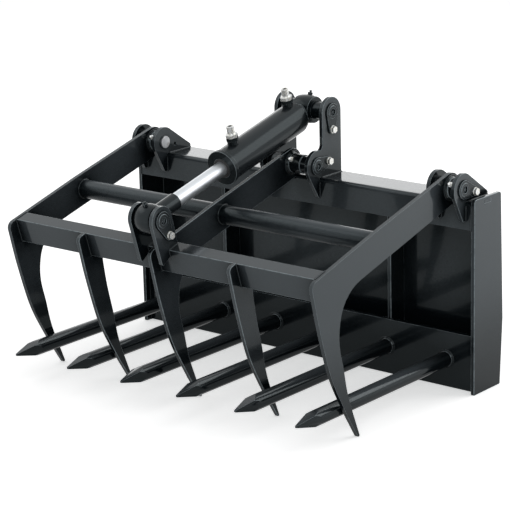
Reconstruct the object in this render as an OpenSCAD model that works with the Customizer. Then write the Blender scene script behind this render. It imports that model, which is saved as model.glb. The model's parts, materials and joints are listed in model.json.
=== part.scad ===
// Grapple bucket for a small loader: a tined frame, and a three-armed jaw that one cylinder
// pulls open. Millimetres, +Z up, tines towards -Y. Plates are drawn at the closed pose,
// measured from the rear top edge of the side plates (y = 0) and from the ground (z = 0).

/* [Frame] */
// Width over the side plates
frame_w = 1070; // [900:10:1300]
// Height of the side plates
frame_h = 485; // [470:1:500]
// Depth of the side plates at the top
frame_d = 113.5; // [112:0.5:125]
// How far the side plates bow out at the back
side_bow = 11; // [4:1:20]
// Height of the bow
side_bow_h = 166; // [120:1:220]
// Thickness of side plates, ears, towers, arms and teeth
plate_t = 10; // [8:0.5:12]
// How far the side plates stand above the top band
side_proud = 7; // [3:1:12]
// Thickness of the bent top band
band_t = 8; // [6:0.5:10]
// Height of the band's front web
band_web = 68; // [56:1:90]
// Length of the tab that joins the band to each side plate
tab_len = 26; // [20:1:40]
// Distance of the tab's middle in front of the rear top edge
tab_at = 58; // [46:1:70]
// Thickness of the hitch plate
hitch_t = 8; // [6:0.5:10]
// How far the hitch plate's back lies in front of the side plates' rear top edge
hitch_set = 20; // [16:1:24]
// Lower edge of the hitch plate
hitch_low = 22; // [5:1:40]
// Thickness of the plate that the tines pass through
tine_plate_t = 12; // [10:1:14]
// Height of that plate
tine_plate_h = 140; // [125:1:170]
// Its clearance from the ground
tine_plate_low = 2; // [1:1:10]
// How far its front face lies behind the side plates' front edges
tine_plate_set = 17; // [12:1:22]

/* [Tines] */
// Number of tines
tine_count = 6; // [6:2:6]
// Distance of the outer tines' axes inside the side plates' outer faces
tine_in = 93.25; // [91:0.25:105]
// Diameter of a tine
tine_d = 38; // [32:1:39]
// Height of the tine axes
tine_h = 72.5; // [60:0.5:90]
// Distance of the tine tips from the rear top edge
tine_reach = 685; // [560:5:800]
// Length of the pointed end
tine_point = 80; // [40:5:120]
// Width across the blunt end of the point
tine_blunt = 5; // [3:0.5:8]
// Leg of the weld ring at the tine plate
tine_weld = 4; // [2:0.5:6]

/* [Coupler] */
// Width of the lip and the ledge that the loader's plate takes
coupler_w = 600; // [500:10:700]
// Height of the ledge's top face
ledge_h = 96; // [80:1:130]
// Reach of the ledge behind the hitch plate
ledge_reach = 44; // [38:1:50]
// Height from the ledge's top face to the root of the lip
coupler_h = 300; // [260:5:330]
// Height of the pad that the loader's plate bears against
pad_h = 260; // [200:5:262]
// Thickness of the pad
pad_t = 6; // [5:0.5:10]
// Length of the sloping lip
lip_len = 44; // [36:1:50]
// Width of a wedge slot
slot_w = 22; // [16:1:24]
// Length of a wedge slot
slot_len = 54; // [40:1:70]
// Distance between the two wedge slots
slot_pitch = 380; // [300:10:440]

/* [Pivots] */
// Distance of the jaw pivot in front of the rear top edge
pivot_out = 123; // [120:1:127]
// Height of the jaw pivot above the side plates
pivot_up = 25; // [23:0.5:29]
// Distance of the outer arms' middle planes inside the side plates' outer faces
arm_in = 65; // [60:1:105]
// Radius of the ears' round ends
ear_r = 39; // [36:1:42]
// Gap between the two ears of an outer pivot
ear_gap = 60; // [50:1:64]
// Gap between the two centre towers
tower_gap = 132; // [110:2:150]
// Distance of the cylinder's rear pin in front of the rear top edge
anchor_out = 62; // [58:1:66]
// Height of the cylinder's rear pin above the jaw pivot
anchor_up = 126; // [115:1:140]
// Radius of the towers' upper ends
anchor_r = 38; // [34:1:42]
// Length of the ears' front fins below the top band's upper face
fin_drop = 49; // [38:1:60]
// Depth of the ears' front fins at their lower end
fin_d = 11; // [6:1:14]
// Diameter of all pins
pin_d = 32; // [28:1:35]
// Diameter of the keeper's round head
keeper_d = 45; // [40:1:50]
// Thickness of the keeper flags
keeper_t = 4; // [3:0.5:6]
// Distance from a pin to its keeper bolt
keeper_reach = 43; // [41:1:45]

/* [Jaw] */
// Slope of the arms with the jaw closed
arm_slope = 16; // [14:0.5:18]
// Height of the arms above the pivot line
arm_up = 42.5; // [40:0.5:45]
// Distance from the pivot at which the arms reach that height
arm_crest = 300; // [240:10:360]
// Depth of the arms below the pivot line at the teeth
arm_down = 34; // [30:0.5:38]
// Depth of the arms below the pivot line at the pivot
arm_root = 41; // [38:1:43]
// Radius of the arms' round ends
arm_end_r = 36; // [34:1:38]
// Clearance of the slots that the arm ends turn in
arm_clear = 2; // [1.5:0.5:4]
// Offset of the middle arm from the frame's middle
arm_middle_x = -6; // [-8:1:0]
// Outside diameter of the arm hubs
hub_d = 48; // [46:1:50]
// Length of the middle hub's thick part
hub_thick = 74; // [50:2:90]
// Outside diameter of the middle hub's ends
hub_neck_d = 43; // [42:0.5:44]
// Outside diameter of the hub bushings
bush_d = 40; // [38:1:42]
// Leg of the weld at each hub
hub_weld = 6; // [3:0.5:6.5]
// Distance from the pivot to the crossbeam's back face, along the arm
beam_at = 485; // [478:0.5:490]
// Depth of the rectangular crossbeam
beam_d = 38; // [34:1:42]
// Height of the rectangular crossbeam
beam_h = 62; // [56:1:66]
// Wall of the crossbeam
beam_wall = 5; // [3:0.5:6]
// How far the teeth stand in front of the crossbeam
tooth_proud = 31.5; // [28:0.5:34]
// Distance from the pivot to the cross pipe, along the arm
pipe_at = 278.5; // [240:0.5:330]
// Diameter of the cross pipe
pipe_d = 48; // [42:1:52]
// Wall of the cross pipe
pipe_wall = 4; // [3:0.5:6]
// Distance of the tooth tips in front of the rear top edge
tip_out = 499; // [492:1:506]
// Width of the teeth at the tip
tip_w = 7; // [6:0.5:10]
// Distance from the jaw pivot to the rod pin, along the arm
clevis_at = 521.5; // [516:0.5:526]
// Height of the rod pin above the pivot line
clevis_up = 119; // [114:1:123]
// Radius of the clevis ears' round ends
clevis_r = 34.5; // [33:0.5:38]
// Gap between the clevis ears
clevis_gap = 56; // [50:1:60]

/* [Cylinder] */
// Outside diameter of the barrel
barrel_d = 82; // [78:1:86]
// Bore of the barrel
bore_d = 70; // [64:1:72]
// Distance from the rear pin to the barrel's rear end
barrel_from = 56; // [54:1:58]
// Distance from the rear pin to the gland's front face
barrel_to = 345.5; // [330:0.5:355]
// Thickness of the gland's flange
gland_t = 11; // [8:1:14]
// How far the gland reaches into the barrel
gland_in = 26; // [20:1:30]
// Diameter of the rod
rod_d = 35; // [32:1:38]
// Outside diameter of the rear eye
eye_d = 72; // [66:1:74]
// Width of the rear eye
eye_w = 50; // [44:1:56]
// Outside diameter of the rod eye
rod_eye_d = 72; // [71:0.5:76]
// Width of the rod eye
rod_eye_w = 44; // [40:1:46]
// How much less the rod eye's radius is at its sides
rod_eye_crown = 5; // [3:0.5:6]
// Extra radius of the rod eye's bore over its pin
open_play = 11.6; // [11.4:0.1:12.5]
// Diameter of the socket that holds the rod
socket_d = 41; // [40:0.5:46]
// Distance from the rod pin to the socket's far end
socket_to = 90; // [88:1:110]
// Thickness of the piston
piston_t = 35; // [28:1:40]
// Distance from the rear pin to the front port
port_front = 289; // [286:1:294]
// Distance from the rear pin to the rear port
port_rear = 70; // [69:1:90]
// Diameter of the welded port bosses
boss_d = 28; // [26:1:32]
// Height of the bosses' hexagons over the barrel
boss_h = 16; // [13:0.5:20]
// Across flats of the hose fittings
fitting_af = 27; // [24:1:27]
// Length of the hose fittings
fitting_h = 29; // [26:1:34]
// Diameter of the oil passages
port_bore = 10; // [8:1:12]

/* [Fits] */
// Radial clearance of pins in bushings and of the piston and rod
running = 0.05; // [0.02:0.01:0.09]
// Radial clearance of parts that are welded or pressed in
seat = 0.05; // [0.02:0.01:0.2]
// End clearance of hubs, spacers and washers between plates
end_gap = 0.3; // [0.2:0.1:0.5]

/* [Hidden] */
$fn = 72;

// Colours as the object shows them
paint = "#1b1e21";
bare_steel = "#8d9093";
zinc = "#c2c5c7";
chrome = "#e6e9eb";
bronze = "#b08a4a";
rubber = "#101112";

// Small sizes that repeat
corner_r = 8;
edge_r = 3;
bolt_d = 10;
bolt_af = 16;
bolt_head = 6.4;
keeper_tail_r = 12;
counterbore_d = 17;
counterbore_deep = 5.5;
keeper_ring = 1.5;
pin_end = 5;
washer_d = 20;
washer_t = 2;
// How far a straight edge stays inside the round that it runs into
inset = 0.03;

// Places worked out from the sizes above
band_top = frame_h - side_proud;
fin_low = band_top - fin_drop;
inner_w = frame_w - 2 * plate_t;
tine_pitch = (frame_w - 2 * tine_in) / (tine_count - 1);
arm_span = frame_w - 2 * arm_in;
front_y = -frame_d;
hitch_back_y = -hitch_set;
hitch_front_y = hitch_back_y - hitch_t;
tine_plate_y = front_y + tine_plate_set;
pivot_h = frame_h + pivot_up;
anchor_h = pivot_h + anchor_up;
pivot = [-pivot_out, pivot_h];
anchor = [-anchor_out, anchor_h];
arm_x = arm_span / 2;
// The short teeth stand halfway between the middle of the jaw and its outer arms
short_tooth_x = arm_x / 2;
beam_front = beam_at + beam_d;
tooth_front = beam_front + tooth_proud;
tip_y = -tip_out;

// A point of the jaw: so far along the arm from the pivot, and so far above the pivot line
function on_jaw(along, up) = pivot + [
    -along * cos(arm_slope) - up * sin(arm_slope),
    -along * sin(arm_slope) + up * cos(arm_slope)
];
clevis = on_jaw(clevis_at, clevis_up);
cylinder_slope = atan2(anchor.y - clevis.y, anchor.x - clevis.x);
cylinder_len = norm(anchor - clevis);
gland_back = barrel_to - gland_t - gland_in;
piston_front = port_front - port_bore / 2 - 3;
piston_back = piston_front - piston_t;

// Directions of the keeper tails, from the pin to the bolt
ear_keeper_dir = -16;
tower_keeper_dir = 8;
anchor_keeper_dir = -92;
rod_keeper_dir = -62;

// The object stands with the middle of its box over the origin
jaw_front = min(clevis.x - clevis_r, on_jaw(tooth_front, 0).x);
rear_y = max(hitch_back_y + ledge_reach, side_bow);
stand_y = -(min(jaw_front, -tine_reach) + rear_y) / 2;

// Points of a rounded outline: each corner is [y, z, radius]
function unit(v) = v / norm(v);
function corner(a, b, c, r) =
    let (
        u = unit(a - b),
        v = unit(c - b),
        half = acos(u * v) / 2,
        middle = b + unit(u + v) * r / sin(half),
        p = b + u * r / tan(half) - middle,
        q = b + v * r / tan(half) - middle,
        start = atan2(p.y, p.x),
        sweep = (atan2(q.y, q.x) - start + 540) % 360 - 180,
        steps = max(2, ceil(abs(sweep) / 7))
    )
    [for (i = [0:steps]) middle + r * polar(start + sweep * i / steps)];
function polar(angle) = [cos(angle), sin(angle)];
function flat(p) = [p[0], p[1]];
function rounded(corners) = let (n = len(corners)) [
    for (i = [0:n - 1])
        let (c = corners[i], r = len(c) > 2 ? c[2] : 0)
        each (r > 0
            ? corner(flat(corners[(i + n - 1) % n]), flat(c), flat(corners[(i + 1) % n]), r)
            : [flat(c)])
];
// Where a line from p meets a circle, just inside its tangent; side is 1 or -1
function tangent(p, centre, r, side) =
    let (d = p - centre, inside = r - inset)
    centre + inside * polar(atan2(d.y, d.x) + side * acos(inside / norm(d)));
function with_radius(p, r) = [p.x, p.y, r];

// A piece in its colour, moved from the drawing's zero to the stand's
module piece(colour) {
    color(colour) translate([0, stand_y, 0]) children();
}

// A plate that starts at x and is drawn in the YZ plane
module plate(x, t = plate_t) {
    translate([x, 0, 0]) rotate([90, 0, 90]) linear_extrude(t) children();
}

// A round bar along X at a point of the YZ plane
module bar(x, length, d, at) {
    translate([x, at.x, at.y]) rotate([0, 90, 0]) cylinder(h = length, d = d);
}

// The cylinder's own frame: rear pin at the origin, rod towards -Y
module on_cylinder() {
    translate([0, anchor.x, anchor.y]) rotate([cylinder_slope, 0, 0]) children();
}

// A round bar along the cylinder, between two distances from the rear pin
module along(from, to, d) {
    translate([0, -from, 0]) rotate([90, 0, 0]) cylinder(h = to - from, d = d);
}

// Frame

module side_plate(side) {
    piece(paint)
    plate(side > 0 ? inner_w / 2 : -frame_w / 2)
    difference() {
        polygon(rounded([
            [front_y, 0, edge_r],
            [front_y, frame_h, corner_r],
            [0, frame_h, corner_r],
            [side_bow, side_bow_h, 40],
            [0, 0, edge_r]
        ]));
        translate([-tab_at, band_top - band_t / 2])
            square([tab_len + 2 * seat, band_t + 2 * seat], center = true);
    }
}

module hitch_plate() {
    piece(paint)
    translate([-inner_w / 2, hitch_front_y, hitch_low])
        cube([inner_w, hitch_t, band_top - band_t - hitch_low]);
}

// The band is one bent plate, with slots for the arm ends, and with a tab at each end
// that shows in the side plates
module top_band() {
    bend = band_t + 1;
    sweep = arm_root + arm_corner_reach + arm_clear;
    piece(paint)
    difference() {
        union() {
            plate(-inner_w / 2, inner_w)
                polygon(rounded([
                    [front_y, band_top - band_web],
                    [front_y, band_top, bend],
                    [hitch_back_y, band_top],
                    [hitch_back_y, band_top - band_t],
                    [front_y + band_t, band_top - band_t, bend - band_t],
                    [front_y + band_t, band_top - band_web]
                ]));
            for (side = [-1, 1])
                translate([side * (inner_w + plate_t) / 2, -tab_at, band_top - band_t / 2])
                    cube([plate_t, tab_len, band_t], center = true);
        }
        for (x = [-arm_x, arm_middle_x, arm_x])
            bar(x - plate_t / 2 - arm_clear, plate_t + 2 * arm_clear, 2 * sweep, pivot);
    }
}

module tine_plate() {
    piece(paint)
    difference() {
        translate([-inner_w / 2, tine_plate_y, tine_plate_low])
            cube([inner_w, tine_plate_t, tine_plate_h]);
        for (i = [1:tine_count])
            translate([tine_x(i), tine_plate_y - 1, tine_h])
                rotate([-90, 0, 0])
                    cylinder(h = tine_plate_t + 2, d = tine_d + 2 * seat);
    }
}

// The ribs stand over the second and the last tine but one
module rib(i) {
    rib_back = hitch_front_y;
    rib_front = tine_plate_y + tine_plate_t;
    piece(paint)
    translate([tine_x(i) - plate_t / 2, rib_front, tine_h + tine_d / 2 + 5])
        cube([plate_t, rib_back - rib_front, band_top - band_t - tine_h - tine_d / 2 - 5]);
}

function tine_x(i) = (i - (tine_count + 1) / 2) * tine_pitch;

// A round bar with a weld ring on the tine plate, and a point ground with four flats
module tine(i) {
    length = tine_reach + hitch_front_y;
    ring = hitch_front_y - tine_plate_y;
    r = tine_d / 2;
    lean = atan((r - tine_blunt / 2) / tine_point);
    flat_len = tine_point / cos(lean) + 10;
    piece(paint)
    translate([tine_x(i), hitch_front_y, tine_h])
        rotate([90, 0, 0])
            difference() {
                rotate_extrude()
                    polygon([
                        [0, 0],
                        [r, 0],
                        [r, ring],
                        [r + tine_weld, ring],
                        [r, ring + tine_weld],
                        [r, length],
                        [0, length]
                    ]);
                for (turn = [0:90:270])
                    rotate([0, 0, turn])
                        translate([tine_blunt / 2, -r - 1, length])
                            rotate([0, -lean, 0])
                                translate([0, 0, -flat_len])
                                    cube([r, 2 * r + 2, flat_len + 5]);
            }
}

// Coupler on the back: a sloping lip above and a slotted ledge below

module coupler_lip() {
    piece(paint)
    plate(-coupler_w / 2, coupler_w)
        polygon(lip_outline());
}

lip_root = ledge_h + coupler_h;
function lip_outline() =
    let (fall = lip_len * sin(45), t = band_t / sin(45)) [
        [hitch_back_y, lip_root],
        [hitch_back_y, lip_root + t],
        [hitch_back_y + fall, lip_root + t - fall],
        [hitch_back_y + fall - t / 2, lip_root + t / 2 - fall]
    ];

module coupler_ledge() {
    piece(paint)
    difference() {
        translate([-coupler_w / 2, hitch_back_y, ledge_h - plate_t])
            cube([coupler_w, ledge_reach, plate_t]);
        for (side = [-1, 1])
            translate([side * slot_pitch / 2, hitch_back_y + ledge_reach / 2, ledge_h - plate_t - 1])
                linear_extrude(plate_t + 2)
                    slot_outline();
    }
}

// The pad between ledge and lip keeps the loader's plate clear of the welds
module coupler_pad() {
    piece(paint)
    translate([-coupler_w / 2, hitch_back_y, ledge_h])
        cube([coupler_w, pad_t, pad_h]);
}

module slot_outline() {
    square([slot_len - slot_w, slot_w], center = true);
    for (side = [-1, 1])
        translate([side * (slot_len - slot_w) / 2, 0])
            circle(d = slot_w);
}

// Two triangular gussets carry the lip and two carry the ledge
module lip_gussets() {
    gusset = ledge_reach - 6;
    below = ledge_h - plate_t;
    piece(paint)
    for (side = [-1, 1]) {
        plate(side * coupler_w / 2 - plate_t / 2 - side * plate_t)
            polygon([
                [hitch_back_y, below],
                [hitch_back_y + gusset, below],
                [hitch_back_y, below - gusset]
            ]);
        plate(side * coupler_w / 2 - plate_t / 2 - side * plate_t)
            polygon([
                [hitch_back_y, lip_outline()[1].y],
                lip_outline()[2],
                [hitch_back_y, lip_outline()[1].y + gusset / 2]
            ]);
    }
}

// Pivot ears and towers, all with the same front fin over the band

module band_notch(x) {
    translate([x - 1, front_y, band_top - band_web])
        cube([plate_t + 2, frame_d, band_web]);
}

// A hole through the plate at x
module hole(x, at, d) {
    bar(x - 1, plate_t + 2, d, at);
}

module ear(x) {
    fin = [front_y - fin_d, fin_low + 2];
    nose = [hitch_back_y, band_top + 9];
    piece(paint)
    difference() {
        union() {
            plate(x)
                polygon(rounded([
                    [hitch_back_y, fin_low],
                    with_radius(fin, edge_r),
                    tangent(fin, pivot, ear_r, -1),
                    tangent(nose, pivot, ear_r, 1),
                    with_radius(nose, 6)
                ]));
            bar(x, plate_t, 2 * ear_r, pivot);
        }
        band_notch(x);
        hole(x, pivot, pin_d + 2 * seat);
        hole(x, pivot + keeper_reach * polar(ear_keeper_dir), bolt_d + 2 * seat);
    }
}

module tower(x) {
    fin = [front_y - fin_d / 2, fin_low];
    neck = -anchor_out - anchor_r + inset;
    rear = -anchor_out + anchor_r - inset;
    lobe_top = pivot_h + ear_r;
    piece(paint)
    difference() {
        union() {
            plate(x)
                polygon(rounded([
                    [rear, fin_low],
                    with_radius(fin, edge_r),
                    tangent(fin, pivot, ear_r, -1),
                    [neck - ear_r / 2, lobe_top - 4],
                    [neck, lobe_top - 4, 16],
                    [neck, anchor_h],
                    [rear, anchor_h]
                ]));
            bar(x, plate_t, 2 * ear_r, pivot);
            bar(x, plate_t, 2 * anchor_r, anchor);
        }
        band_notch(x);
        hole(x, pivot, pin_d + 2 * seat);
        hole(x, anchor, pin_d + 2 * seat);
        hole(x, pivot + keeper_reach * polar(tower_keeper_dir), bolt_d + 2 * seat);
        hole(x, anchor + keeper_reach * polar(anchor_keeper_dir), bolt_d + 2 * seat);
    }
}

// Pins, each with its welded keeper flag on the face at x; side is the flag's direction

module keeper_pin(at, x, grip, side, dir) {
    proud = keeper_t + keeper_ring;
    head = side > 0 ? x : x - keeper_t;
    bolt = at + keeper_reach * polar(dir);
    mouth = x + side * proud;
    piece(bare_steel) {
        difference() {
            union() {
                bar(side > 0 ? x - grip - pin_end : x, grip + pin_end, pin_d, at);
                plate(head, keeper_t) teardrop(at, keeper_d / 2, bolt, keeper_tail_r);
                bar(side > 0 ? x : x - proud, proud, pin_d, at);
            }
            bar(side > 0 ? mouth - counterbore_deep : mouth - 1, counterbore_deep + 1, counterbore_d, at);
            bar(head - 1, keeper_t + 2, bolt_d + 1, bolt);
        }
        // The head of the grease nipple, a little below the mouth of the pin's recess
        bar(side > 0 ? mouth - counterbore_deep - 1 : mouth + 1.5, counterbore_deep - 0.5, 6.5, at);
    }
}

// Two circles and the band between their outer tangents
module teardrop(a, ra, b, rb) {
    dir = atan2(b.y - a.y, b.x - a.x);
    spread = acos((ra - rb) / norm(b - a));
    in_a = ra - inset;
    in_b = rb - inset;
    translate(a) circle(ra);
    translate(b) circle(rb);
    polygon([
        a + in_a * polar(dir - spread),
        b + in_b * polar(dir - spread),
        b + in_b * polar(dir + spread),
        a + in_a * polar(dir + spread)
    ]);
}

// A hexagon bolt whose washer sits on the keeper at x
module keeper_bolt(at, x, side) {
    shank = plate_t + keeper_t;
    head = washer_t + bolt_head;
    bar(side > 0 ? x - shank : x, shank, bolt_d, at);
    bar(side > 0 ? x : x - washer_t, washer_t, washer_d, at);
    translate([side > 0 ? x : x - head, at.x, at.y])
        rotate([0, 90, 0])
            cylinder(h = head, d = bolt_af / cos(30), $fn = 6);
}

ear_face = arm_x + ear_gap / 2 + plate_t;
tower_face = tower_gap / 2 + plate_t;
clevis_face = clevis_gap / 2 + plate_t;

module frame_keeper_bolts() {
    ear_bolt = pivot + keeper_reach * polar(ear_keeper_dir);
    piece(zinc) {
        for (side = [-1, 1])
            keeper_bolt(ear_bolt, side * (ear_face + keeper_t), side);
        keeper_bolt(pivot + keeper_reach * polar(tower_keeper_dir), tower_face + keeper_t, 1);
        keeper_bolt(anchor + keeper_reach * polar(anchor_keeper_dir), tower_face + keeper_t, 1);
    }
}

module rod_keeper_bolt() {
    piece(zinc)
    keeper_bolt(clevis + keeper_reach * polar(rod_keeper_dir), clevis_face + keeper_t, 1);
}

// Tubes that centre the cylinder's rear eye between the towers
module anchor_spacers() {
    length = (tower_gap - eye_w) / 2 - end_gap;
    piece(bare_steel)
    for (side = [-1, 1])
        difference() {
            bar(side > 0 ? eye_w / 2 + end_gap : -eye_w / 2 - end_gap - length, length, pin_d + 12, anchor);
            bar(side > 0 ? eye_w / 2 : -tower_gap / 2 - 1, length + 2, pin_d + 2 * seat, anchor);
        }
}

// Jaw

// Outline of a tooth, from its upper end down the front, round the tip and up the back
function tooth_front_edge(top_r) = [
    with_radius(on_jaw(tooth_front - 6, arm_up), top_r),
    [tip_y - 108.5, 170.5, 250],
    [tip_y, 0, 3]
];
function tooth_back_edge() = [
    [tip_y + tip_w, 0, 3],
    [tip_y - 41, 120, 80],
    [tip_y - 50, 182, 30]
];

// An arm's lower corner: how far it lies behind the pivot, and how much farther from the
// pivot its round reaches than the arm's depth there
arm_root_back = 20;
arm_corner_reach = 1.5;
arm_crest_r = 900;

module arm(x, cuts = false) {
    left = x - plate_t / 2;
    piece(paint)
    difference() {
        union() {
            plate(left)
                polygon(rounded(concat(
                    [on_jaw(0, arm_end_r - inset), with_radius(on_jaw(arm_crest, arm_up), arm_crest_r)],
                    tooth_front_edge(18),
                    tooth_back_edge(),
                    [
                        [tip_y - 66, 222, 30],
                        with_radius(on_jaw(beam_at - 10, -arm_down), 114),
                        with_radius(on_jaw(-arm_root_back, -arm_root), 16),
                        on_jaw(inset - arm_end_r, 0)
                    ]
                )));
            bar(left, plate_t, 2 * arm_end_r, pivot);
        }
        hole(left, pivot, hub_d + 2 * seat);
        if (cuts)
            middle_arm_cuts(left);
    }
}

// The crossbeam lies in a notch of the middle arm, and the pipe passes through it
module middle_arm_cuts(left) {
    notch = on_jaw(beam_front, arm_up - beam_h);
    translate([left - 1, notch.x, notch.y])
        rotate([arm_slope, 0, 0])
            cube([plate_t + 2, beam_d, beam_h + 1]);
    hole(left, on_jaw(pipe_at, pipe_up), pipe_d + 2 * seat);
}
pipe_up = 0.7;

// A short tooth wraps the crossbeam's front and bottom
module tooth(x) {
    beam_low = arm_up - beam_h;
    piece(paint)
    plate(x - plate_t / 2)
        polygon(rounded(concat(
            [on_jaw(beam_front, beam_low), on_jaw(beam_front, arm_up)],
            tooth_front_edge(13),
            tooth_back_edge(),
            [
                [tip_y - 71, 262, 60],
                on_jaw(beam_at, beam_low)
            ]
        )));
}

module crossbeam() {
    length = arm_span - plate_t;
    place = on_jaw(beam_front, arm_up - beam_h);
    piece(paint)
    translate([0, place.x, place.y])
        rotate([arm_slope, 0, 0])
            difference() {
                translate([-length / 2, 0, 0]) cube([length, beam_d, beam_h]);
                translate([-length / 2 - 1, beam_wall, beam_wall])
                    cube([length + 2, beam_d - 2 * beam_wall, beam_h - 2 * beam_wall]);
            }
}

module cross_pipe() {
    length = arm_span - plate_t;
    place = on_jaw(pipe_at, pipe_up);
    piece(paint)
    difference() {
        bar(-length / 2, length, pipe_d, place);
        bar(-length / 2 - 1, length + 2, pipe_d - 2 * pipe_wall, place);
    }
}

// A hub tube through the arm at x + arm_set, with a weld on each face of the arm; it is
// thick over a part of its length, and the narrower ends reach to the ears
module hub(x, gap, thick, arm_set = 0) {
    r = hub_d / 2;
    neck = hub_neck_d / 2;
    half = gap / 2 - end_gap;
    step = min(thick / 2, half);
    left = arm_set - plate_t / 2;
    right = arm_set + plate_t / 2;
    inner = bush_d / 2 + seat;
    piece(paint)
    translate([x, pivot.x, pivot.y])
        rotate([0, 90, 0])
            rotate_extrude()
                polygon(concat(
                    step < half ? [[inner, -half], [neck, -half], [neck, -step]] : [[inner, -half]],
                    [
                        [r, -step],
                        [r, left - hub_weld],
                        [r + hub_weld, left],
                        [r, left],
                        [r, right],
                        [r + hub_weld, right],
                        [r, right + hub_weld],
                        [r, step]
                    ],
                    step < half ? [[neck, step], [neck, half], [inner, half]] : [[inner, half]]
                ));
}

module hub_bushings() {
    piece(bronze)
    for (hub = [[-arm_x, ear_gap], [0, tower_gap], [arm_x, ear_gap]])
        difference() {
            bar(hub[0] - hub[1] / 2 + end_gap, hub[1] - 2 * end_gap, bush_d, pivot);
            bar(hub[0] - hub[1] / 2, hub[1], pin_d + 2 * running, pivot);
        }
}

// A grease nipple that stands on a round of radius r, in the YZ plane
module nipple(x, at, r, dir) {
    translate([x, at.x, at.y])
        rotate([dir - 90, 0, 0]) {
            translate([0, 0, r]) cylinder(h = 6, d = nipple_af / cos(30), $fn = 6);
            translate([0, 0, r + 6]) cylinder(h = 2, d = 5);
            translate([0, 0, r + 8]) cylinder(h = 3, d = 7);
        }
}
nipple_af = 12;

module hub_grease_nipples() {
    piece(zinc)
    for (x = [-arm_x, arm_middle_x, arm_x])
        nipple(x + plate_t / 2 + hub_weld + 8, pivot, hub_d / 2, 150);
}

// A clevis ear stands on the crossbeam and reaches down its front face
module clevis_ear(x) {
    front_foot = on_jaw(tooth_front, arm_up - 28);
    rear_foot = on_jaw(beam_at + 5, arm_up);
    piece(paint)
    difference() {
        union() {
            plate(x)
                polygon(rounded([
                    with_radius(front_foot, 5),
                    tangent(front_foot, clevis, clevis_r, -1),
                    tangent(rear_foot, clevis, clevis_r, 1),
                    rear_foot,
                    on_jaw(beam_front, arm_up),
                    on_jaw(beam_front, arm_up - 17)
                ]));
            bar(x, plate_t, 2 * clevis_r, clevis);
        }
        hole(x, clevis, pin_d + 2 * seat);
        hole(x, clevis + keeper_reach * polar(rod_keeper_dir), bolt_d + 2 * seat);
    }
}

// Cylinder, rear half: barrel, rear eye and gland

module barrel() {
    piece(paint)
    on_cylinder()
    difference() {
        along(barrel_from, barrel_to - gland_t, barrel_d);
        along(barrel_from - 1, barrel_to, bore_d);
        for (port = [port_front, port_rear])
            translate([0, -port, 0]) cylinder(h = barrel_d, d = port_bore);
    }
}

// The eye is welded to the barrel's end cap by a round neck
module rear_eye() {
    cap_t = 9;
    piece(paint)
    on_cylinder()
    difference() {
        union() {
            crowned_eye(eye_d / 2, eye_w, 3);
            along(barrel_from - cap_t, barrel_from, barrel_d - 6);
            along(barrel_from - 1, barrel_from + 8, bore_d - 2 * seat);
            along(eye_d / 4, barrel_from - 1, eye_w - 2);
        }
        rotate([0, 90, 0]) cylinder(h = eye_w + 2, d = bush_d + 2 * seat, center = true);
    }
}

// An eye of radius r and width w; crown is how much less its radius is at the sides
module crowned_eye(r, w, crown) {
    bow = (w * w / 4 + crown * crown) / (2 * crown);
    reach = asin(w / 2 / bow);
    steps = 10;
    rotate([0, 90, 0])
        rotate_extrude()
            polygon(concat(
                [[0, -w / 2]],
                [
                    for (i = [-steps:steps])
                        let (a = reach * i / steps)
                        [r - bow + bow * cos(a), bow * sin(a)]
                ],
                [[0, w / 2]]
            ));
}

module rear_eye_bushing() {
    piece(bronze)
    difference() {
        bar(-eye_w / 2, eye_w, bush_d, anchor);
        bar(-eye_w / 2 - 1, eye_w + 2, pin_d + 2 * running, anchor);
    }
}

module gland() {
    lip_d = rod_d + 14;
    piece(paint)
    on_cylinder()
    difference() {
        union() {
            along(barrel_to - gland_t, barrel_to, barrel_d + 6);
            along(gland_back, barrel_to, bore_d - 2 * seat);
        }
        along(gland_back - 1, barrel_to + 1, rod_d + 2 * running);
        along(barrel_to - wiper_t, barrel_to + 1, lip_d);
    }
}
wiper_t = 5;

module rod_wiper() {
    piece(rubber)
    on_cylinder()
    difference() {
        along(barrel_to - wiper_t, barrel_to + 2, rod_d + 14 - 2 * seat);
        along(barrel_to - wiper_t - 1, barrel_to + 3, rod_d + 2 * running);
    }
}

// Round bosses welded on top of the barrel, each with a painted hexagon, and the plated
// fittings screwed into them
boss_top = barrel_d / 2 + boss_h;
boss_hex_t = 9;
fitting_hex_t = 9;
hose_nipple_d = 18;

module port_bosses() {
    piece(paint)
    on_cylinder()
    for (port = [port_front, port_rear])
        difference() {
            union() {
                translate([0, -port, 0]) cylinder(h = boss_top - boss_hex_t, d = boss_d);
                translate([0, -port, boss_top - boss_hex_t])
                    cylinder(h = boss_hex_t, d = fitting_af / cos(30), $fn = 6);
            }
            along(0, barrel_to, barrel_d + 2 * seat);
            translate([0, -port, 0]) cylinder(h = boss_top + 1, d = port_bore);
        }
}

module hose_fittings() {
    piece(zinc)
    on_cylinder()
    for (port = [port_front, port_rear])
        translate([0, -port, boss_top])
            difference() {
                union() {
                    cylinder(h = fitting_hex_t, d = fitting_af / cos(30), $fn = 6);
                    cylinder(h = fitting_h, d = hose_nipple_d);
                }
                translate([0, 0, -1]) cylinder(h = fitting_h + 2, d = port_bore);
            }
}

module rear_eye_nipple() {
    piece(paint) nipple(0, anchor, eye_d / 2, 70);
}

// Cylinder, moving half: rod, piston and rod eye

stub_d = rod_d - 11;
stub_out = 4;
nut_t = 18;
nut_af = 36;

module rod() {
    socket_floor = cylinder_len - socket_to + socket_deep;
    piece(chrome)
    on_cylinder() {
        along(piston_front, socket_floor, rod_d);
        along(piston_back - nut_t - stub_out, piston_front, stub_d);
    }
}

groove_w = 5;
groove_deep = 4;
groove_in = 6;
piston_grooves = [piston_back + groove_in, piston_front - groove_in - groove_w];

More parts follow.
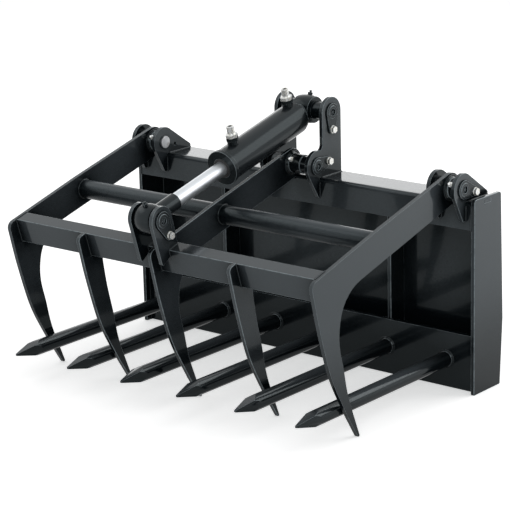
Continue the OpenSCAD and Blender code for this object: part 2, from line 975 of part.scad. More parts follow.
module piston() {
    piece(bare_steel)
    on_cylinder()
    difference() {
        along(piston_back, piston_front, bore_d - 2 * running);
        along(piston_back - 1, piston_front + 1, stub_d + 2 * seat);
        for (groove = piston_grooves)
            difference() {
                along(groove, groove + groove_w, bore_d + 2);
                along(groove - 1, groove + groove_w + 1, bore_d - 2 * groove_deep);
            }
    }
}

module piston_seals() {
    piece(rubber)
    on_cylinder()
    for (groove = piston_grooves)
        difference() {
            along(groove, groove + groove_w, bore_d - 2 * running);
            along(groove - 1, groove + groove_w + 1, bore_d - 2 * groove_deep + 2 * seat);
        }
}

module piston_nut() {
    piece(zinc)
    on_cylinder()
    difference() {
        translate([0, -(piston_back - nut_t), 0])
            rotate([90, 0, 0])
                cylinder(h = nut_t, d = nut_af / cos(30), $fn = 6);
        along(piston_back - nut_t - 1, piston_back + 1, stub_d + 2 * seat);
    }
}

// The eye's bore is wider than its pin, and its rim is crowned
module rod_eye() {
    w = rod_eye_w;
    r = rod_eye_d / 2;
    socket_end = cylinder_len - socket_to;
    piece(paint)
    on_cylinder()
    difference() {
        union() {
            translate([0, -cylinder_len, 0]) crowned_eye(r, w, rod_eye_crown);
            along(socket_end, cylinder_len - r + 6, socket_d);
        }
        translate([0, -cylinder_len, 0])
            rotate([0, 90, 0])
                cylinder(h = w + 2, r = pin_d / 2 + open_play, center = true);
        along(socket_end - 1, socket_end + socket_deep, rod_d + 2 * seat);
    }
}
socket_deep = 42;

module rod_eye_nipple() {
    piece(paint) nipple(0, clevis, rod_eye_d / 2, 112);
}

side_plate(-1);  // side_plate_left
side_plate(1);  // side_plate_right
hitch_plate();
top_band();
tine_plate();
rib(2);  // rib_left
rib(5);  // rib_right
for (i = [1:tine_count])
    tine(i);
coupler_lip();
coupler_ledge();
coupler_pad();
lip_gussets();
ear(-ear_face);  // ear_left_outer
ear(-arm_x + ear_gap / 2);  // ear_left_inner
ear(arm_x - ear_gap / 2 - plate_t);  // ear_right_inner
ear(arm_x + ear_gap / 2);  // ear_right_outer
tower(-tower_face);  // tower_left
tower(tower_gap / 2);  // tower_right
anchor_spacers();
keeper_pin(pivot, -ear_face, ear_gap + 2 * plate_t, -1, ear_keeper_dir);  // pivot_pin_left
keeper_pin(pivot, tower_face, 2 * tower_face, 1, tower_keeper_dir);  // pivot_pin_centre
keeper_pin(pivot, ear_face, ear_gap + 2 * plate_t, 1, ear_keeper_dir);  // pivot_pin_right
keeper_pin(anchor, tower_face, 2 * tower_face, 1, anchor_keeper_dir);  // anchor_pin
frame_keeper_bolts();
arm(-arm_x);  // arm_left
arm(arm_middle_x, true);  // arm_middle
arm(arm_x);  // arm_right
tooth(-short_tooth_x);  // tooth_left
tooth(short_tooth_x);  // tooth_right
crossbeam();
cross_pipe();
hub(-arm_x, ear_gap, ear_gap);  // hub_left
hub(0, tower_gap, hub_thick, arm_middle_x);  // hub_middle
hub(arm_x, ear_gap, ear_gap);  // hub_right
hub_bushings();
hub_grease_nipples();
clevis_ear(-clevis_face);  // clevis_ear_left
clevis_ear(clevis_gap / 2);  // clevis_ear_right
keeper_pin(clevis, clevis_face, 2 * clevis_face, 1, rod_keeper_dir);  // rod_pin
rod_keeper_bolt();
barrel();
rear_eye();
rear_eye_bushing();
gland();
rod_wiper();
port_bosses();
hose_fittings();
rear_eye_nipple();
rod();
piston();
piston_seals();
piston_nut();
rod_eye();
rod_eye_nipple();
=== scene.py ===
"""The grapple bucket as it stands in the photograph: gloss black paint over welded plate,
a chromed rod, zinc-plated bolts and fittings, on a white sweep under soft studio light."""

import json
import math

import bmesh
import bpy
from mathutils import Matrix, Vector, noise
from mathutils.bvhtree import BVHTree

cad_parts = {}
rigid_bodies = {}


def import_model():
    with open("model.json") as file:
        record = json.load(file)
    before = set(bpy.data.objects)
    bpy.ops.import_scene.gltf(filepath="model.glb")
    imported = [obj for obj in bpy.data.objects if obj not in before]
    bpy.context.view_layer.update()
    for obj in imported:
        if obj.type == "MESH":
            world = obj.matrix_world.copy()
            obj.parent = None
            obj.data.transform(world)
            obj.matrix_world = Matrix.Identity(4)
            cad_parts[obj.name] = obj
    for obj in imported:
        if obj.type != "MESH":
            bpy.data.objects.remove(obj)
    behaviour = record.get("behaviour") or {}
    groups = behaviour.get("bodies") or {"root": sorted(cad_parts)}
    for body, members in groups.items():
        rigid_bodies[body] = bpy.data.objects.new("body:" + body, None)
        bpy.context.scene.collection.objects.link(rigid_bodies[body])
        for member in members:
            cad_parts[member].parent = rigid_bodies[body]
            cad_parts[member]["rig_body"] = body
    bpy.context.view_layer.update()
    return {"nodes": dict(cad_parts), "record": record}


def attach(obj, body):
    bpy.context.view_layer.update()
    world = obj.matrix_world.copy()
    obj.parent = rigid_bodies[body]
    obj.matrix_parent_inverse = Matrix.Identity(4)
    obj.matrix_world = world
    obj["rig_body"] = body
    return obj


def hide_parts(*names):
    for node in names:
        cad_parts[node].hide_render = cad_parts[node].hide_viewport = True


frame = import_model()
NODES = frame["nodes"]
MM = 0.001

# Camera: where it looks from, and its lens on a 36 mm sensor
VIEW_AZIMUTH = 39.739
VIEW_ELEVATION = 15.569
VIEW_ROLL = -1.432
VIEW_DISTANCE = 5.02138
VIEW_TARGET = Vector((0.09918, -0.06620, 0.34987))
LENS_MM = 148.41
SENSOR_MM = 36.0

# The floor: half its size in metres, and the tones with which it lights the object
FLOOR_HALF_SIZE = 30
FLOOR_TONES = ((0.85, 0.85, 0.85), (0.87, 0.87, 0.87))

# The floor as it is seen: how much of its white is its own, and the tone that takes shadow
FLOOR_WHITE = 0.7
FLOOR_SHADOW = (0.95, 0.95, 0.95)

# Its painted shadow under the object: its tone, how far in metres round a point the object is
# looked for, and how open a point there is when that tone is full
PAINTED_SHADOW_TONE = (0.72, 0.73, 0.73)
CONTACT_REACH = 0.45
CONTACT_LOW = 0.45

# Its share of white in mirroring faces, and the distances in metres between which it rises, so
# that the mirrored floor is darker near the object, a painted shade
MIRRORED_NEAR = 0.5
MIRRORED_FAR = 1.0
NEAR_FLOOR = 1.3
FAR_FLOOR = 3.2

# The world's light on the object, where the seen and mirrored world is 1
FILL = 0.3

# Softboxes: place, the point they face, width, height, radiance
SOFTBOXES = {
    "rear softbox": ((1.6, 2.6, 2.4), (0.3, 0.3, 0.2), 3.6, 2.4, 1.9),
    "left softbox": ((-2.0, -0.9, 2.5), (0, 0, 0.4), 2.2, 1.2, 1.0),
    "far softbox": ((-2.4, 3.4, 1.55), (0.2, 0.2, 0.45), 3.4, 1.3, 1.1),
    "right softbox": ((2.6, -3.2, 1.7), (0, 0, 0.3), 2.4, 2.0, 2.0),
}

# Black paint: its painted shade in corners, the tint of its painted light on open faces and of
# its gloss, and how open a face is, within a reach in metres, before the painted light shows
PAINTED_SHADE_BLACK = (0.0035, 0.0055, 0.007)
PAINTED_LIGHT_TINT = (0.96, 1.12, 1.24)
GLOSS_TINT = (0.74, 0.95, 1.0, 1)
OPEN_REACH = 0.3
OPEN_LOW = 0.68

# Rays that test how open a point is, on paint and floor
OPEN_SAMPLES = 8

# Painted highlight on edges: tints of its dimmer and its brighter patches, and of its gloss
EDGE_HIGHLIGHT_DIM = (0.55, 0.66, 0.72)
EDGE_HIGHLIGHT_BRIGHT = (1.2, 1.4, 1.5)
EDGE_GLOSS_TINT = (0.8, 0.95, 1.0, 1)

# Broken edges: their widths, their steps, and the angle from which an edge is sharp
PLATE_EDGE = 1.4 * MM
TURNED_EDGE = 0.7 * MM
WIDE_EDGE = 2.4 * MM
EDGE_SEGMENTS = 3
SHARP_ANGLE = math.radians(32)

# Clearing up a node's triangles: the angle within which faces are one, the distances within
# which points are one or lie in one plane, and a length that is none
FLAT_ANGLE = math.radians(0.4)
SAME_POINT = 2e-6
SAME_PLANE = 1e-6
NO_LENGTH = 1e-9

# A normal's part along X, from which a face lies across X, and up to which it lies along it
ACROSS_X = 0.9
ALONG_X = 0.1

# Weld beads: radius, pitch of the ripples, spacing and sides of the rings that draw them
BEAD = 2.1 * MM
BEAD_PITCH = 5.0 * MM
BEAD_STEP = 1.5 * MM
BEAD_SIDES = 8

# Shares of that radius: between ripples, what a ripple adds, and what noise adds or takes,
# with its scale to the metre and its offset from seed to seed
BEAD_LOW = 0.9
BEAD_RIPPLE = 0.14
BEAD_UNEVEN = 0.12
UNEVEN_SCALE = 60
SEED_STEP = 3.7

# Seams: how near a plate they lie, how far off its face they are cut, how many points are
# too few for a bead, and how far their seeds differ to the metre
TOUCH = 1.5 * MM
CUT_OFF = 0.15 * MM
TOO_FEW = 4
SEED_SPREAD = 31

# Teeth: the heights between which their edges are drawn as one sweep, and over which height
# it fades in and out
TOOTH_LOW = 60 * MM
TOOTH_HIGH = 330 * MM
TOOTH_FADE = 50 * MM

# The outline's steps, how far round a point the sweep reaches, and the length of outline
# that weighs as much as the point itself
OUTLINE_STEP = 7 * MM
TOOTH_REACH = 26 * MM
POINT_WEIGHT = OUTLINE_STEP / 4

# How much the front is hollowed, and the height from which the outline is worked on
FRONT_HOLLOW = 5.5 * MM
TIP_HEIGHT = TOOTH_LOW / 2


# Shader helpers

class Nodes:
    """A material's node tree, with short names for what is used most."""

    def __init__(self, name):
        self.material = bpy.data.materials.new(name)
        self.material.use_nodes = True
        self.tree = self.material.node_tree
        self.shader = self.tree.nodes["Principled BSDF"]
        self.place = self.add("ShaderNodeTexCoord").outputs["Object"]

    def add(self, kind, **values):
        """A new node, with its settings."""
        made = self.tree.nodes.new(kind)
        for key, value in values.items():
            setattr(made, key, value)
        return made

    def link(self, source, target):
        self.tree.links.new(source, target)

    def set(self, **values):
        """Values for the shader's own sockets, which are named with underscores."""
        for key, value in values.items():
            self.shader.inputs[key.replace("_", " ")].default_value = value

    def noise(self, scale, detail=3.0, rough=0.55, stretch=(1, 1, 1)):
        """Noise from 0 to 1, scale to the metre, stretched along the axes."""
        mapping = self.add("ShaderNodeMapping")
        mapping.inputs["Scale"].default_value = stretch
        self.link(self.place, mapping.inputs["Vector"])
        made = self.add("ShaderNodeTexNoise")
        made.inputs["Scale"].default_value = scale
        made.inputs["Detail"].default_value = detail
        made.inputs["Roughness"].default_value = rough
        self.link(mapping.outputs["Vector"], made.inputs["Vector"])
        return made.outputs["Fac"]

    def spread(self, source, low, high, from_low=0.3, from_high=0.7):
        """The source's span, drawn out from low to high."""
        made = self.add("ShaderNodeMapRange")
        made.inputs["From Min"].default_value = from_low
        made.inputs["From Max"].default_value = from_high
        made.inputs["To Min"].default_value = low
        made.inputs["To Max"].default_value = high
        self.link(source, made.inputs["Value"])
        return made.outputs["Result"]

    def mix(self, factor, a, b):
        """Colour a where the factor is 0, and b where it is 1."""
        made = self.add("ShaderNodeMix", data_type="RGBA")
        self.link(factor, made.inputs["Factor"])
        made.inputs["A"].default_value = (*a, 1)
        made.inputs["B"].default_value = (*b, 1)
        return made.outputs["Result"]

    def bump(self, *layers):
        """Each layer is a height, its strength and its depth in metres."""
        last = None
        for height, strength, depth in layers:
            made = self.add("ShaderNodeBump")
            made.inputs["Strength"].default_value = strength
            made.inputs["Distance"].default_value = depth
            self.link(height, made.inputs["Height"])
            if last:
                self.link(last.outputs["Normal"], made.inputs["Normal"])
            last = made
        self.link(last.outputs["Normal"], self.shader.inputs["Normal"])


def tinted(tone, tint):
    return tuple(tone * part for part in tint)


def gloss_paint(name, painted_light_tone=0.07, rough=0.12, coat=0.24):
    """Black powder coat: fine orange peel, clouded gloss, painted light on open faces and painted
    shade in corners.
    """
    n = Nodes(name)
    n.set(
        Metallic=0.0, Specular_IOR_Level=0.18, Specular_Tint=GLOSS_TINT,
        Coat_Weight=coat, Coat_Roughness=0.05, Coat_IOR=1.5,
    )
    cloud = n.noise(3.2, 4.0)
    # Painted shade and light: by how open each point is, the base colour runs from near black in
    # corners and recesses to a paler tint on open faces
    open_sky = n.add("ShaderNodeAmbientOcclusion", samples=OPEN_SAMPLES)
    open_sky.inputs["Distance"].default_value = OPEN_REACH
    painted_light_share = n.spread(open_sky.outputs["AO"], 0.0, 1.0, OPEN_LOW, 1.0)
    tone = n.mix(painted_light_share, PAINTED_SHADE_BLACK, tinted(painted_light_tone, PAINTED_LIGHT_TINT))
    n.link(tone, n.shader.inputs["Base Color"])
    n.link(n.spread(cloud, rough * 0.8, rough * 1.35), n.shader.inputs["Roughness"])
    n.bump((n.noise(430.0, 2.0), 0.02, 0.0005), (n.noise(38.0, 2.0), 0.04, 0.0015))
    return n.material


def edge_highlight_paint(name, tone=0.2):
    """Painted highlight on an edge: a paler, duller and uneven tone than the black paint."""
    n = Nodes(name)
    n.set(Metallic=0.0, Specular_IOR_Level=0.7, Specular_Tint=EDGE_GLOSS_TINT)
    # The pale tone is a painted highlight; the noise only makes it patchy
    patchiness = n.spread(n.noise(70.0, 4.0, 0.6), 0.0, 1.0, 0.35, 0.65)
    film = n.mix(patchiness, tinted(tone, EDGE_HIGHLIGHT_DIM), tinted(tone, EDGE_HIGHLIGHT_BRIGHT))
    n.link(film, n.shader.inputs["Base Color"])
    n.link(n.spread(patchiness, 0.22, 0.4, 0.0, 1.0), n.shader.inputs["Roughness"])
    return n.material


def chrome_plate(name):
    """Hard chrome: bright, with faint polishing rings round the rod."""
    n = Nodes(name)
    n.set(Metallic=1.0, Base_Color=(0.66, 0.69, 0.72, 1), Anisotropic=0.3)
    along = n.noise(900.0, 2.0, 0.5, (0.05, 1.0, 0.3))
    n.link(n.spread(along, 0.32, 0.44), n.shader.inputs["Roughness"])
    n.bump((along, 0.06, 0.0003))
    return n.material


def zinc_plate(name):
    """Bright zinc: pale, slightly yellow in patches, finely speckled."""
    n = Nodes(name)
    n.set(Metallic=1.0)
    patch = n.spread(n.noise(160.0, 4.0), 0.0, 1.0, 0.4, 0.66)
    tone = n.mix(patch, (0.72, 0.74, 0.75), (0.66, 0.64, 0.57))
    n.link(tone, n.shader.inputs["Base Color"])
    n.link(n.spread(n.noise(900.0, 3.0), 0.2, 0.38), n.shader.inputs["Roughness"])
    n.bump((n.noise(1400.0, 2.0), 0.12, 0.0002))
    return n.material


def bare_steel(name):
    """Turned steel with fine tool marks and a dull oxide in places."""
    n = Nodes(name)
    n.set(Metallic=1.0)
    oxide = n.spread(n.noise(60.0, 5.0), 0.0, 1.0, 0.5, 0.75)
    tone = n.mix(oxide, (0.42, 0.43, 0.44), (0.22, 0.2, 0.18))
    n.link(tone, n.shader.inputs["Base Color"])
    marks = n.noise(1100.0, 1.0, 0.5, (1.0, 0.1, 0.1))
    n.link(n.spread(marks, 0.28, 0.46), n.shader.inputs["Roughness"])
    n.bump((marks, 0.15, 0.0002))
    return n.material


def plain_bronze(name):
    """Bushing bronze, dulled by grease."""
    n = Nodes(name)
    n.set(Metallic=1.0)
    grease = n.spread(n.noise(90.0, 4.0), 0.0, 1.0, 0.45, 0.7)
    tone = n.mix(grease, (0.5, 0.34, 0.16), (0.12, 0.08, 0.04))
    n.link(tone, n.shader.inputs["Base Color"])
    n.link(n.spread(grease, 0.3, 0.5, 0.0, 1.0), n.shader.inputs["Roughness"])
    return n.material


def seal_rubber(name):
    """Matte nitrile rubber with a fine grain."""
    n = Nodes(name)
    n.set(Base_Color=(0.014, 0.014, 0.015, 1))
    grain = n.noise(1500.0, 3.0)
    n.link(n.spread(grain, 0.45, 0.65), n.shader.inputs["Roughness"])
    n.bump((grain, 0.2, 0.0002))
    return n.material


# Mesh helpers

def shade(mesh):
    """Smooth faces, with their sharp edges left sharp."""
    bm = bmesh.new()
    bm.from_mesh(mesh)
    for face in bm.faces:
        face.smooth = True
    for edge in bm.edges:
        edge.smooth = edge.is_manifold and edge.calc_face_angle(0.0) < SHARP_ANGLE
    bm.to_mesh(mesh)
    bm.free()


def outline_edges(bm):
    """Edges round the two faces of a plate that stands across X."""
    found = []
    for edge in bm.edges:
        first, second = edge.verts
        if not edge.is_manifold or abs(first.co.x - second.co.x) > SAME_PLANE:
            continue
        flats = sorted(abs(face.normal.x) for face in edge.link_faces)
        if flats[0] < ALONG_X and flats[1] > ACROSS_X:
            found.append(edge)
    return found


def walk(edges, start):
    """The vertices met from start along the edges, and whether they close up."""
    beside = {}
    for edge in edges:
        for vert in edge.verts:
            beside.setdefault(vert, []).append(edge.other_vert(vert))
    row = [start]
    before = None
    while True:
        onward = [v for v in beside[row[-1]] if v is not before]
        if not onward:
            return row, False
        before = row[-1]
        if onward[0] is start:
            return row, True
        row.append(onward[0])


def rows_of(edges):
    """The edges as rows of vertices, each with whether it closes up."""
    left = list(edges)
    rows = []
    while left:
        ends = {}
        for edge in left:
            for vert in edge.verts:
                ends[vert] = ends.get(vert, 0) + 1
        start = next((v for v, count in ends.items() if count == 1), next(iter(ends)))
        row, closed = walk(left, start)
        rows.append((row, closed))
        met = set(row)
        left = [edge for edge in left if not met.issuperset(edge.verts)]
    return rows


def swept(points, index):
    """The mean place of a closed outline round one of its points, the nearer the heavier."""
    total = points[index].copy()
    weight = 1.0
    for way in (1, -1):
        at = points[index]
        gone = 0.0
        last = index
        while gone < 3 * TOOTH_REACH:
            following = points[(last + way) % len(points)]
            part = (following - at).length
            middle = (at + following) / 2
            nearness = math.exp(-((gone + part / 2) / TOOTH_REACH) ** 2 / 2)
            share = part / POINT_WEIGHT * nearness
            total += middle * share
            weight += share
            gone += part
            at = following
            last = (last + way) % len(points)
    return total / weight


def sweep_tooth(mesh):
    """Draws the edges of a tooth as one sweep, without corners, and hollows its front."""
    bm = bmesh.new()
    bm.from_mesh(mesh)
    while True:
        long_edges = [
            edge for edge in outline_edges(bm)
            if edge.calc_length() > OUTLINE_STEP
            and min(v.co.z for v in edge.verts) < TOOTH_HIGH
            and max(v.co.z for v in edge.verts) > TIP_HEIGHT
        ]
        if not long_edges:
            break
        bmesh.ops.subdivide_edges(bm, edges=long_edges, cuts=1, use_grid_fill=True)
        bm.normal_update()
    moved = {}
    for row, closed in rows_of(outline_edges(bm)):
        if not closed:
            continue
        points = [vert.co.copy() for vert in row]
        for index, vert in enumerate(row):
            rise = min(1.0, max(0.0, (vert.co.z - TOOTH_LOW) / TOOTH_FADE))
            fall = min(1.0, max(0.0, (TOOTH_HIGH - vert.co.z) / TOOTH_FADE))
            share = rise * fall
            if not share:
                continue
            place = vert.co.lerp(swept(points, index), share)
            same_height = [p.y for p in points if abs(p.z - vert.co.z) < 2 * OUTLINE_STEP]
            if vert.co.y < (min(same_height) + max(same_height)) / 2:
                climb = (vert.co.z - TIP_HEIGHT) / (TOOTH_HIGH - TIP_HEIGHT)
                place.y += FRONT_HOLLOW * math.sin(math.pi * climb) ** 2
            moved[vert] = place
    for vert, place in moved.items():
        vert.co = place
    bm.to_mesh(mesh)
    bm.free()


def finish_piece(piece, node, material):
    """Gives the piece its material and slot, and lets it ride with the node's body."""
    piece.data.materials.clear()
    piece.data.materials.append(material)
    bpy.context.scene.collection.objects.link(piece)
    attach(piece, NODES[node]["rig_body"])


def dress(node, slot_name, material, edge_width, edge_material):
    """Puts a copy of the node in its place, with broken edges and its material."""
    mesh = NODES[node].data.copy()
    mesh.name = "skin_" + node
    bm = bmesh.new()
    bm.from_mesh(mesh)
    bmesh.ops.remove_doubles(bm, verts=bm.verts, dist=SAME_POINT)
    bmesh.ops.dissolve_limit(
        bm, angle_limit=FLAT_ANGLE, verts=bm.verts, edges=bm.edges, use_dissolve_boundaries=False
    )
    bm.to_mesh(mesh)
    bm.free()
    if node in TOOTHED:
        sweep_tooth(mesh)
    piece = bpy.data.objects.new("skin_" + node, mesh)
    finish_piece(piece, node, material)
    shade(mesh)
    bevel = piece.modifiers.new("edge", "BEVEL")
    bevel.limit_method = "ANGLE"
    bevel.angle_limit = SHARP_ANGLE
    bevel.width = edge_width
    bevel.segments = EDGE_SEGMENTS
    bevel.harden_normals = True
    bevel.use_clamp_overlap = True
    if edge_material:
        mesh.materials.append(edge_material)
        bevel.material = 1
    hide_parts(node)


MATERIALS = {
    "frame_paint": gloss_paint("black powder coat, frame"),
    "jaw_paint": gloss_paint("black powder coat, jaw"),
    "cylinder_paint": gloss_paint("black enamel, cylinder", 0.024, 0.2, 0.14),
    "tube_paint": gloss_paint("black powder coat, tubes", 0.085, 0.24, 0.1),
    "pin_steel": bare_steel("turned steel"),
    "zinc_plate": zinc_plate("bright zinc"),
    "rod_chrome": chrome_plate("hard chrome"),
    "bronze": plain_bronze("bushing bronze"),
    "seal_rubber": seal_rubber("nitrile rubber"),
}
# Painted highlights on broken edges, the brighter one on the wide edges
EDGE_HIGHLIGHT = edge_highlight_paint("painted edge highlight")
WIDE_EDGE_HIGHLIGHT = edge_highlight_paint("painted wide edge highlight", 0.5)

# Steel that the photograph shows painted, tubes with a duller paint, plates whose edges are
# broken wide and carry a brighter painted highlight, plates with a tooth, and turned parts,
# whose edges are broken finely
PAINTED_STEEL = {
    "pivot_pin_centre", "pivot_pin_right", "anchor_pin", "rod_pin", "anchor_spacers",
}
PAINTED_TUBES = {"cross_pipe"}
WIDE_EDGE_PLATES = {"tine_plate"}
TOOTHED = {"arm_left", "arm_middle", "arm_right", "tooth_left", "tooth_right"}
TURNED = {
    "pivot_pin_left", "piston", "rod", "gland", "barrel", "rod_eye", "rear_eye", "hose_fittings",
}


def material_of(node, slot_name):
    """The slot's material, but for the steel and tubes named above."""
    if node in PAINTED_STEEL:
        return MATERIALS["cylinder_paint"]
    if node in PAINTED_TUBES:
        return MATERIALS["tube_paint"]
    return MATERIALS[slot_name]


def edge_of(node, slot_name):
    """How wide the node's edges are broken, and the painted highlight they show."""
    if node in WIDE_EDGE_PLATES:
        return WIDE_EDGE, WIDE_EDGE_HIGHLIGHT
    small = node in TURNED or any(word in node for word in ("nipple", "bolt", "pin"))
    painted = "paint" in slot_name or node in PAINTED_STEEL
    return (TURNED_EDGE if small else PLATE_EDGE), (EDGE_HIGHLIGHT if painted else None)


def dress_all():
    for part in frame["record"]["subparts"]:
        node = part["node"]
        slot_name = part["material_slot"]
        dress(node, slot_name, material_of(node, slot_name), *edge_of(node, slot_name))


dress_all()


# Weld beads

def low_and_high(node):
    """The lowest and highest coordinates of the node."""
    corners = [v.co for v in NODES[node].data.vertices]
    return [[pick(c[axis] for c in corners) for axis in range(3)] for pick in (min, max)]


def section(node, axis, at):
    """The node's outlines in a plane across an axis, as rows of points."""
    bm = bmesh.new()
    bm.from_mesh(NODES[node].data)
    normal = Vector((0, 0, 0))
    normal[axis] = 1
    everything = bm.verts[:] + bm.edges[:] + bm.faces[:]
    cut = bmesh.ops.bisect_plane(
        bm, geom=everything, dist=SAME_PLANE, plane_co=normal * at, plane_no=normal
    )
    edges = [part for part in cut["geom_cut"] if isinstance(part, bmesh.types.BMEdge)]
    rows = []
    for row, closed in rows_of(edges):
        points = [vert.co.copy() for vert in row]
        rows.append(points + points[:1] if closed else points)
    bm.free()
    return rows


def even_steps(points):
    """The same line with a point at each step."""
    result = [points[0]]
    for first, second in zip(points, points[1:]):
        count = max(1, round((second - first).length / BEAD_STEP))
        result += [first.lerp(second, (i + 1) / count) for i in range(count)]
    return result


def lay_bead(bm, points, axis, seed):
    """A rippled bead along points that lie in a plane across the axis."""
    closed = (points[0] - points[-1]).length < BEAD_STEP / 2
    if closed:
        points = points[:-1]
    across = Vector((0, 0, 0))
    across[axis] = 1
    rings = []
    gone = 0.0
    for index, point in enumerate(points):
        if closed:
            tangent = points[(index + 1) % len(points)] - points[index - 1]
        else:
            tangent = points[min(index + 1, len(points) - 1)] - points[max(index - 1, 0)]
        if tangent.length < NO_LENGTH:
            continue
        if rings:
            gone += (point - last).length
        last = point
        beside = tangent.normalized().cross(across)
        ripple = BEAD_LOW + BEAD_RIPPLE * abs(math.sin(math.pi * gone / BEAD_PITCH))
        ripple += BEAD_UNEVEN * noise.noise((gone * UNEVEN_SCALE, seed * SEED_STEP, 0.0))
        ring = []
        for side in range(BEAD_SIDES):
            turn = 2 * math.pi * side / BEAD_SIDES
            outward = across * math.cos(turn) + beside * math.sin(turn)
            ring.append(bm.verts.new(point + outward * BEAD * ripple))
        rings.append(ring)
    pairs = list(zip(rings, rings[1:]))
    if closed:
        pairs.append((rings[-1], rings[0]))
    for first, second in pairs:
        for side in range(BEAD_SIDES):
            following = (side + 1) % BEAD_SIDES
            bm.faces.new((first[side], first[following], second[following], second[side]))
    if not closed:
        bm.faces.new(rings[0][::-1])
        bm.faces.new(rings[-1])


def seams(bm, plate, piece, axis, at, toward):
    """Beads where the piece's outline in a plane lies on the plate."""
    mesh = NODES[plate].data
    tree = BVHTree.FromPolygons([v.co for v in mesh.vertices], [p.vertices for p in mesh.polygons])
    for row in section(piece, axis, at + toward * CUT_OFF):
        run = []
        for point in even_steps(row) + [None]:
            if point is not None and tree.find_nearest(point)[3] < TOUCH:
                run.append(point)
                continue
            if len(run) > TOO_FEW:
                lay_bead(bm, run, axis, at * SEED_SPREAD)
            run = []


def weld(name, body_node, slot_name, joints):
    """All beads of one body, as one piece that rides with the named node."""
    bm = bmesh.new()
    for plate, piece, axis, at, toward in joints:
        seams(bm, plate, piece, axis, at, toward)
    bmesh.ops.recalc_face_normals(bm, faces=bm.faces)
    for face in bm.faces:
        face.smooth = True
    mesh = bpy.data.meshes.new(name)
    bm.to_mesh(mesh)
    bm.free()
    finish_piece(bpy.data.objects.new(name, mesh), body_node, MATERIALS[slot_name])


def faces_across(plate, pieces, axis):
    """Both faces of the plate, with each piece that meets them."""
    low, high = low_and_high(plate)
    return [(plate, piece, axis, at, toward)
            for piece in pieces
            for at, toward in ((low[axis], -1), (high[axis], 1))]


def weld_all():
    """The seams of the frame and of the jaw, each as one piece."""
    frame_joints = []
    standing = (
        "ear_left_outer", "ear_left_inner", "ear_right_outer", "ear_right_inner",
        "tower_left", "tower_right",
    )
    for plate in standing:
        frame_joints += faces_across(plate, ["top_band"], 0)
    for plate in ("side_plate_left", "side_plate_right"):
        frame_joints += faces_across(plate, ["tine_plate", "hitch_plate", "top_band"], 0)
    tines = ["tine_%d" % number for number in range(1, 7)]
    frame_joints += faces_across("tine_plate", tines, 1)
    weld("welds_frame", "hitch_plate", "frame_paint", frame_joints)
    jaw_joints = []
    for side in ("left", "middle", "right"):
        jaw_joints += faces_across("arm_" + side, ["hub_" + side, "crossbeam", "cross_pipe"], 0)
    for plate in ("tooth_left", "tooth_right", "clevis_ear_left", "clevis_ear_right"):
        jaw_joints += faces_across(plate, ["crossbeam"], 0)
    weld("welds_jaw", "crossbeam", "jaw_paint", jaw_joints)


weld_all()


# Stage, light and camera

def studio():
    """A white world to look at and to mirror, which lights the object only softly."""
    scene = bpy.context.scene
    world = bpy.data.worlds.new("studio")
    scene.world = world
    world.use_nodes = True
    tree = world.node_tree
    white = tree.nodes["Background"]
    white.inputs["Color"].default_value = (1, 1, 1, 1)
    white.inputs["Strength"].default_value = 1.0
    soft = tree.nodes.new("ShaderNodeBackground")
    soft.inputs["Color"].default_value = (1, 1, 1, 1)
    soft.inputs["Strength"].default_value = FILL
    rays = tree.nodes.new("ShaderNodeLightPath")
    either = tree.nodes.new("ShaderNodeMath")
    either.operation = "MAXIMUM"
    mixed = tree.nodes.new("ShaderNodeMixShader")
    tree.links.new(rays.outputs["Is Camera Ray"], either.inputs[0])
    tree.links.new(rays.outputs["Is Glossy Ray"], either.inputs[1])
    tree.links.new(either.outputs["Value"], mixed.inputs["Fac"])
    tree.links.new(soft.outputs["Background"], mixed.inputs[1])
    tree.links.new(white.outputs["Background"], mixed.inputs[2])
    tree.links.new(mixed.outputs["Shader"], tree.nodes["World Output"].inputs["Surface"])
    scene.view_settings.view_transform = "Standard"


def softbox(name, place, look_at, width, height, radiance):
    """A rectangular lamp that faces a point."""
    light = bpy.data.lights.new(name, "AREA")
    light.shape = "RECTANGLE"
    light.size = width
    light.size_y = height
    light.energy = radiance * math.pi * width * height
    lamp = bpy.data.objects.new(name, light)
    lamp.location = place
    lamp.rotation_euler = (Vector(look_at) - Vector(place)).to_track_quat("-Z", "Y").to_euler()
    bpy.context.scene.collection.objects.link(lamp)


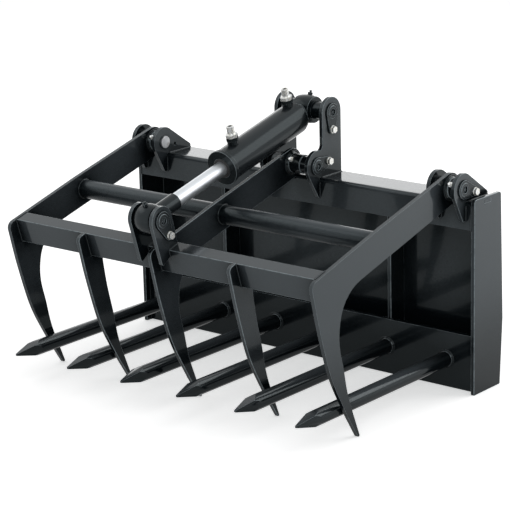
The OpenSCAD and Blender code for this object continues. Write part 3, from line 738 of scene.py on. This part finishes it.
def floor():
    """A white sweep, pale in mirroring faces too, that keeps the object's shadow, with a painted
    shadow under the object and painted shade near it in mirroring faces.
    """
    bm = bmesh.new()
    bmesh.ops.create_grid(bm, x_segments=4, y_segments=4, size=FLOOR_HALF_SIZE)
    mesh = bpy.data.meshes.new("floor")
    bm.to_mesh(mesh)
    bm.free()
    plane = bpy.data.objects.new("floor", mesh)
    bpy.context.scene.collection.objects.link(plane)
    n = Nodes("white sweep")
    n.set(Roughness=0.6, Specular_IOR_Level=0.1)
    n.link(n.mix(n.spread(n.noise(2.0), 0.0, 1.0), *FLOOR_TONES), n.shader.inputs["Base Color"])
    # Seen or mirrored, the sweep is white, keeps a part of the object's shadow, and has a painted
    # shadow under the object
    seen = n.add("ShaderNodeBsdfPrincipled")
    seen.inputs["Base Color"].default_value = (*FLOOR_SHADOW, 1)
    seen.inputs["Roughness"].default_value = 1.0
    seen.inputs["Specular IOR Level"].default_value = 0.0
    # Painted shadow: the seen white turns grey where the object is near
    near = n.add("ShaderNodeAmbientOcclusion", samples=OPEN_SAMPLES)
    near.inputs["Distance"].default_value = CONTACT_REACH
    shadow = n.spread(near.outputs["AO"], 0.0, 1.0, CONTACT_LOW, 1.0)
    n.link(n.mix(shadow, PAINTED_SHADOW_TONE, (1.0, 1.0, 1.0)), seen.inputs["Emission Color"])
    seen.inputs["Emission Strength"].default_value = FLOOR_WHITE
    rays = n.add("ShaderNodeLightPath")
    distance = n.add("ShaderNodeVectorMath", operation="LENGTH")
    n.link(n.place, distance.inputs[0])
    # Painted shade in mirroring faces: the floor's white fades towards the object
    white = n.spread(
        distance.outputs["Value"], MIRRORED_NEAR, MIRRORED_FAR, NEAR_FLOOR, FAR_FLOOR
    )
    mirrored = n.add("ShaderNodeMath", operation="MULTIPLY")
    n.link(rays.outputs["Is Glossy Ray"], mirrored.inputs[0])
    n.link(white, mirrored.inputs[1])
    either = n.add("ShaderNodeMath", operation="MAXIMUM")
    n.link(rays.outputs["Is Camera Ray"], either.inputs[0])
    n.link(mirrored.outputs["Value"], either.inputs[1])
    mixed = n.add("ShaderNodeMixShader")
    n.link(either.outputs["Value"], mixed.inputs["Fac"])
    n.link(n.shader.outputs["BSDF"], mixed.inputs[1])
    n.link(seen.outputs["BSDF"], mixed.inputs[2])
    n.link(mixed.outputs["Shader"], n.tree.nodes["Material Output"].inputs["Surface"])
    mesh.materials.append(n.material)


def camera():
    """The camera at the photograph's angle."""
    azimuth = math.radians(VIEW_AZIMUTH)
    elevation = math.radians(VIEW_ELEVATION)
    roll = math.radians(VIEW_ROLL)
    back = Vector((
        math.sin(azimuth) * math.cos(elevation),
        -math.cos(azimuth) * math.cos(elevation),
        math.sin(elevation),
    ))
    right = Vector((math.cos(azimuth), math.sin(azimuth), 0))
    up = back.cross(right)
    turned_right = right * math.cos(roll) + up * math.sin(roll)
    turned_up = up * math.cos(roll) - right * math.sin(roll)
    data = bpy.data.cameras.new("camera")
    data.lens = LENS_MM
    data.sensor_width = SENSOR_MM
    data.clip_end = 100
    eye = bpy.data.objects.new("camera", data)
    turn = Matrix((turned_right, turned_up, back)).transposed().to_4x4()
    eye.matrix_world = Matrix.Translation(VIEW_TARGET + back * VIEW_DISTANCE) @ turn
    bpy.context.scene.collection.objects.link(eye)
    bpy.context.scene.camera = eye


studio()
floor()
for lamp_name, values in SOFTBOXES.items():
    softbox(lamp_name, *values)
camera()
